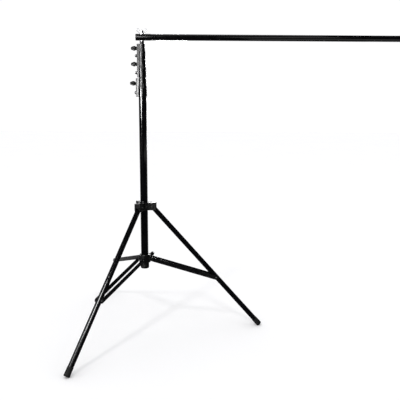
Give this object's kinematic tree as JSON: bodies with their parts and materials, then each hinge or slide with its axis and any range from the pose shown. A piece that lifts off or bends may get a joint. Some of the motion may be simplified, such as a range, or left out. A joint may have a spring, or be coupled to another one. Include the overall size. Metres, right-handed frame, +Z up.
{
  "type": "telescopic tripod stand with crossbar",
  "caption": "Telescopic tripod stand with folding braced legs, locking collars and a telescoping crossbar clamped on its top stud by a wing nut.",
  "frame": {"origin": "point on the floor directly under the column's axis, at the height of the feet's soles", "axes": "+Z up along the column; +X along the crossbar, away from the column; one leg points 1.8 degrees round from +X"},
  "size_m": [1.6846, 0.9902, 1.4051],
  "materials": {
    "black_tube": "satin black anodised tube, smooth, with soft lengthwise highlights",
    "black_casting": "semi-gloss black powder coat on cast alloy",
    "brace_steel": "semi-gloss black paint on flat steel bar",
    "collar_plastic": "glossy black moulded plastic",
    "knob_plastic": "black moulded plastic, slightly worn gloss",
    "cap_plastic": "matt black plastic",
    "foot_rubber": "dull dark grey-black rubber, dusty at the sole",
    "fastener_steel": "zinc-plated steel",
    "black_fastener": "black zinc-plated steel, slightly glossy",
    "bright_chrome": "bright chrome plate",
    "slide_nylon": "dark nylon, unpolished"
  },
  "bodies": {
    "base": {"base_tube": "black_tube", "base_end_cap": "cap_plastic", "leg_yoke": "black_casting", "yoke_rivets": "black_fastener", "leg_pivot_bolts": "black_fastener", "base_collar": "collar_plastic", "base_collar_bolt": "fastener_steel", "base_brake_shoe": "slide_nylon"},
    "base_knob": {"base_knob": "knob_plastic", "base_knob_screw": "fastener_steel"},
    "second_section": {"second_tube": "black_tube", "second_guide_bush": "slide_nylon", "second_collar": "collar_plastic", "second_collar_bolt": "fastener_steel", "second_brake_shoe": "slide_nylon"},
    "second_knob": {"second_knob": "knob_plastic", "second_knob_screw": "fastener_steel"},
    "third_section": {"third_tube": "black_tube", "third_guide_bush": "slide_nylon", "third_collar": "collar_plastic", "third_collar_bolt": "fastener_steel", "third_brake_shoe": "slide_nylon"},
    "third_knob": {"third_knob": "knob_plastic", "third_knob_screw": "fastener_steel"},
    "top_section": {"top_tube": "black_tube", "top_guide_bush": "slide_nylon", "top_stud": "bright_chrome"},
    "wing_nut": {"wing_nut": "bright_chrome"},
    "crossbar": {"crossbar_tube": "black_tube", "crossbar_sleeve": "black_tube", "crossbar_cap": "cap_plastic", "joint_collar": "collar_plastic", "bar_washer": "bright_chrome"},
    "joint_knob": {"joint_knob": "knob_plastic", "joint_knob_screw": "fastener_steel"},
    "inner_bar": {"inner_bar_tube": "black_tube", "inner_bar_bush": "slide_nylon", "inner_bar_sleeve": "black_tube", "inner_bar_cap": "cap_plastic"},
    "brace_collar": {"brace_collar": "black_casting", "brace_pivot_bolts": "black_fastener", "lock_brake_shoe": "slide_nylon"},
    "lock_knob": {"lock_knob": "knob_plastic", "lock_knob_screw": "fastener_steel"},
    "leg_a": {"leg_tube_a": "black_tube", "leg_head_a": "black_casting", "leg_foot_a": "foot_rubber"},
    "brace_a": {"brace_bars_a": "brace_steel", "brace_rivets_a": "black_fastener"},
    "leg_b": {"leg_tube_b": "black_tube", "leg_head_b": "black_casting", "leg_foot_b": "foot_rubber"},
    "brace_b": {"brace_bars_b": "brace_steel", "brace_rivets_b": "black_fastener"},
    "leg_c": {"leg_tube_c": "black_tube", "leg_head_c": "black_casting", "leg_foot_c": "foot_rubber"},
    "brace_c": {"brace_bars_c": "brace_steel", "brace_rivets_c": "black_fastener"}
  },
  "joints": [
    {"name": "second_slide", "type": "slide", "parent": "base", "child": "second_section", "axis": [0, 0, 1], "range_m": [0, 0.7]},
    {"name": "third_slide", "type": "slide", "parent": "second_section", "child": "third_section", "axis": [0, 0, 1], "range_m": [0, 0.75]},
    {"name": "top_slide", "type": "slide", "parent": "third_section", "child": "top_section", "axis": [0, 0, 1], "range_m": [0, 0.75]},
    {"name": "base_knob_turn", "type": "hinge", "parent": "base", "child": "base_knob", "pos_m": [-0.029, 0, 1.1658], "axis": [-1, 0, 0], "range_deg": [0, 720]},
    {"name": "second_knob_turn", "type": "hinge", "parent": "second_section", "child": "second_knob", "pos_m": [-0.0231, 0, 1.25], "axis": [-1, 0, 0], "range_deg": [0, 720]},
    {"name": "third_knob_turn", "type": "hinge", "parent": "third_section", "child": "third_knob", "pos_m": [-0.0225, 0, 1.3187], "axis": [-1, 0, 0], "range_deg": [0, 720]},
    {"name": "wing_nut_turn", "type": "hinge", "parent": "top_section", "child": "wing_nut", "pos_m": [0, 0, 1.39], "axis": [0, 0, 1], "range_deg": [0, 720]},
    {"name": "crossbar_swivel", "type": "hinge", "parent": "top_section", "child": "crossbar", "pos_m": [0, 0, 1.3671], "axis": [0, 0, 1], "continuous": true},
    {"name": "inner_bar_slide", "type": "slide", "parent": "crossbar", "child": "inner_bar", "axis": [1, 0, 0], "range_m": [0, 0.95]},
    {"name": "joint_knob_turn", "type": "hinge", "parent": "crossbar", "child": "joint_knob", "pos_m": [1.25, 0, 1.3431], "axis": [0, 0, -1], "range_deg": [0, 720]},
    {"name": "brace_collar_slide", "type": "slide", "parent": "base", "child": "brace_collar", "axis": [0, 0, 1], "range_m": [0, 0.1107]},
    {"name": "lock_knob_turn", "type": "hinge", "parent": "brace_collar", "child": "lock_knob", "pos_m": [0.02363, 0.04407, 0.353], "axis": [0.4726, 0.8813, 0], "range_deg": [0, 720]},
    {"name": "leg_a_fold", "type": "hinge", "parent": "base", "child": "leg_a", "pos_m": [0.03898, 0.00122, 0.599], "axis": [-0.0314, 0.9995, 0], "range_deg": [0, 33.7]},
    {"name": "brace_a_fold", "type": "hinge", "parent": "brace_collar", "child": "brace_a", "pos_m": [0.03598, 0.00113, 0.3446], "axis": [-0.0314, 0.9995, 0], "range_deg": [0, 61.41]},
    {"name": "leg_b_fold", "type": "hinge", "parent": "base", "child": "leg_b", "pos_m": [-0.02055, 0.03315, 0.599], "axis": [-0.8499, -0.527, 0], "range_deg": [0, 33.7]},
    {"name": "brace_b_fold", "type": "hinge", "parent": "brace_collar", "child": "brace_b", "pos_m": [-0.01897, 0.0306, 0.3446], "axis": [-0.8499, -0.527, 0], "range_deg": [0, 61.41]},
    {"name": "leg_c_fold", "type": "hinge", "parent": "base", "child": "leg_c", "pos_m": [-0.01843, -0.03437, 0.599], "axis": [0.8813, -0.4726, 0], "range_deg": [0, 33.7]},
    {"name": "brace_c_fold", "type": "hinge", "parent": "brace_collar", "child": "brace_c", "pos_m": [-0.01701, -0.03173, 0.3446], "axis": [0.8813, -0.4726, 0], "range_deg": [0, 61.41]}
  ],
  "couplings": [
    {"joint": "leg_a_fold", "follows": "brace_collar_slide", "rad_per_m": 5.2501},
    {"joint": "brace_a_fold", "follows": "brace_collar_slide", "rad_per_m": 9.5868},
    {"joint": "leg_b_fold", "follows": "brace_collar_slide", "rad_per_m": 5.2501},
    {"joint": "brace_b_fold", "follows": "brace_collar_slide", "rad_per_m": 9.5868},
    {"joint": "leg_c_fold", "follows": "brace_collar_slide", "rad_per_m": 5.2501},
    {"joint": "brace_c_fold", "follows": "brace_collar_slide", "rad_per_m": 9.5868}
  ]
}
